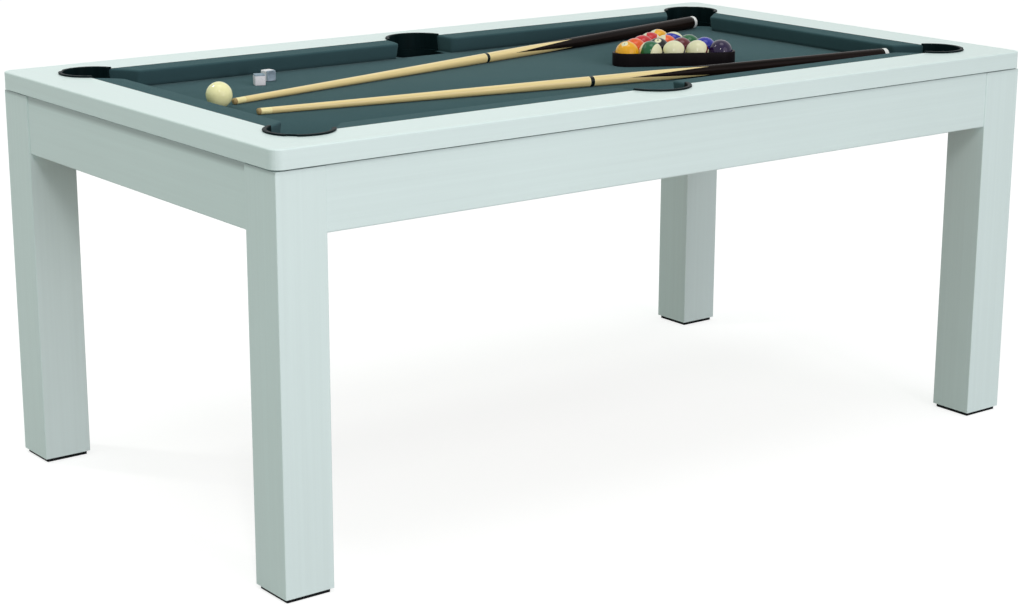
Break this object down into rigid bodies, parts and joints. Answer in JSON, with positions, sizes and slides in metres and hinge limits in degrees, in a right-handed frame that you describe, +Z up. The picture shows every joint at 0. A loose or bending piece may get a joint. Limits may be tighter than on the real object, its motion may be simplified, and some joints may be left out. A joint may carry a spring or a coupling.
{
  "type": "pool table",
  "caption": "Dining-height pool table with square legs, cloth bed, cushions and drop pockets, with cues, balls, rack and chalk lying on it.",
  "frame": {"origin": "centre of the footprint at floor level", "axes": "+X along the long side to the right, +Y from the front long side to the back, +Z up"},
  "size_m": [1.86, 1.04, 0.8161],
  "materials": {
    "white_paint": "satin white paint on board and solid wood, with the grain just showing",
    "cushion_cloth": "slate blue-grey wool cloth over rubber",
    "pocket_plastic": "black moulded, satin",
    "fibreboard": "raw fibreboard",
    "bed_cloth": "slate blue-grey wool cloth",
    "foot_plastic": "black moulded",
    "pine": "planed softwood",
    "bolt_steel": "zinc plated",
    "insert_brass": "machined",
    "tip_leather": "pressed",
    "ferrule_plastic": "polished ivory colour",
    "maple": "lacquered maple",
    "butt_lacquer": "black lacquer with spliced maple points",
    "bumper_rubber": "moulded",
    "rack_plastic": "black moulded",
    "cue_ball_resin": "polished ivory white",
    "solid_ball_resin": "polished, a different colour on each ball",
    "striped_ball_resin": "polished ivory white with a coloured band",
    "chalk": "pressed powder, pale"
  },
  "bodies": {
    "table": {"front_rail": "white_paint", "back_rail": "white_paint", "left_rail": "white_paint", "right_rail": "white_paint", "cushion_front_left": "cushion_cloth", "cushion_front_right": "cushion_cloth", "cushion_back_left": "cushion_cloth", "cushion_back_right": "cushion_cloth", "cushion_left": "cushion_cloth", "cushion_right": "cushion_cloth", "pocket_front_left": "pocket_plastic", "pocket_front_right": "pocket_plastic", "pocket_back_left": "pocket_plastic", "pocket_back_right": "pocket_plastic", "pocket_front_side": "pocket_plastic", "pocket_back_side": "pocket_plastic", "bed_slab_left": "fibreboard", "bed_slab_middle": "fibreboard", "bed_slab_right": "fibreboard", "bed_cloth": "bed_cloth", "front_apron": "white_paint", "back_apron": "white_paint", "left_apron": "white_paint", "right_apron": "white_paint", "leg_front_left": "white_paint", "leg_front_right": "white_paint", "leg_back_left": "white_paint", "leg_back_right": "white_paint", "foot_front_left": "foot_plastic", "foot_front_right": "foot_plastic", "foot_back_left": "foot_plastic", "foot_back_right": "foot_plastic", "front_ledger": "pine", "back_ledger": "pine", "left_ledger": "pine", "right_ledger": "pine", "cross_beam_1": "pine", "cross_beam_2": "pine", "cross_beam_3": "pine", "cross_beam_4": "pine", "leg_blocks": "pine", "leg_bolts": "bolt_steel", "rail_bolts": "bolt_steel", "rail_inserts": "insert_brass"},
    "cue_1": {"cue_1_butt": "butt_lacquer", "cue_1_bumper": "bumper_rubber"},
    "cue_1_front": {"cue_1_tip": "tip_leather", "cue_1_ferrule": "ferrule_plastic", "cue_1_shaft": "maple"},
    "cue_2": {"cue_2_butt": "butt_lacquer", "cue_2_bumper": "bumper_rubber"},
    "cue_2_front": {"cue_2_tip": "tip_leather", "cue_2_ferrule": "ferrule_plastic", "cue_2_shaft": "maple"},
    "rack": {"rack": "rack_plastic"},
    "object_balls": {"solid_balls": "solid_ball_resin", "striped_balls": "striped_ball_resin"},
    "cue_ball": {"cue_ball": "cue_ball_resin"},
    "chalk_1": {"chalk_1": "chalk"},
    "chalk_2": {"chalk_2": "chalk"}
  },
  "joints": [
    {"name": "cue_1_lift", "type": "slide", "parent": "table", "child": "cue_1", "axis": [0, 0, 1], "range_m": [0, 0.15]},
    {"name": "cue_2_lift", "type": "slide", "parent": "table", "child": "cue_2", "axis": [0, 0, 1], "range_m": [0, 0.15]},
    {"name": "rack_lift", "type": "slide", "parent": "table", "child": "rack", "axis": [0, 0, 1], "range_m": [0, 0.15]},
    {"name": "object_balls_lift", "type": "slide", "parent": "table", "child": "object_balls", "axis": [0, 0, 1], "range_m": [0, 0.15]},
    {"name": "cue_ball_lift", "type": "slide", "parent": "table", "child": "cue_ball", "axis": [0, 0, 1], "range_m": [0, 0.15]},
    {"name": "chalk_1_lift", "type": "slide", "parent": "table", "child": "chalk_1", "axis": [0, 0, 1], "range_m": [0, 0.15]},
    {"name": "chalk_2_lift", "type": "slide", "parent": "table", "child": "chalk_2", "axis": [0, 0, 1], "range_m": [0, 0.15]},
    {"name": "cue_1_unscrew", "type": "hinge", "parent": "cue_1", "child": "cue_1_front", "pos_m": [0.04619, 0.20879, 0.77568], "axis": [0.9821, 0.1884, 0.0058], "continuous": true},
    {"name": "cue_2_unscrew", "type": "hinge", "parent": "cue_2", "child": "cue_2_front", "pos_m": [0.02861, -0.16848, 0.77568], "axis": [0.986, -0.1667, 0.0058], "continuous": true}
  ]
}
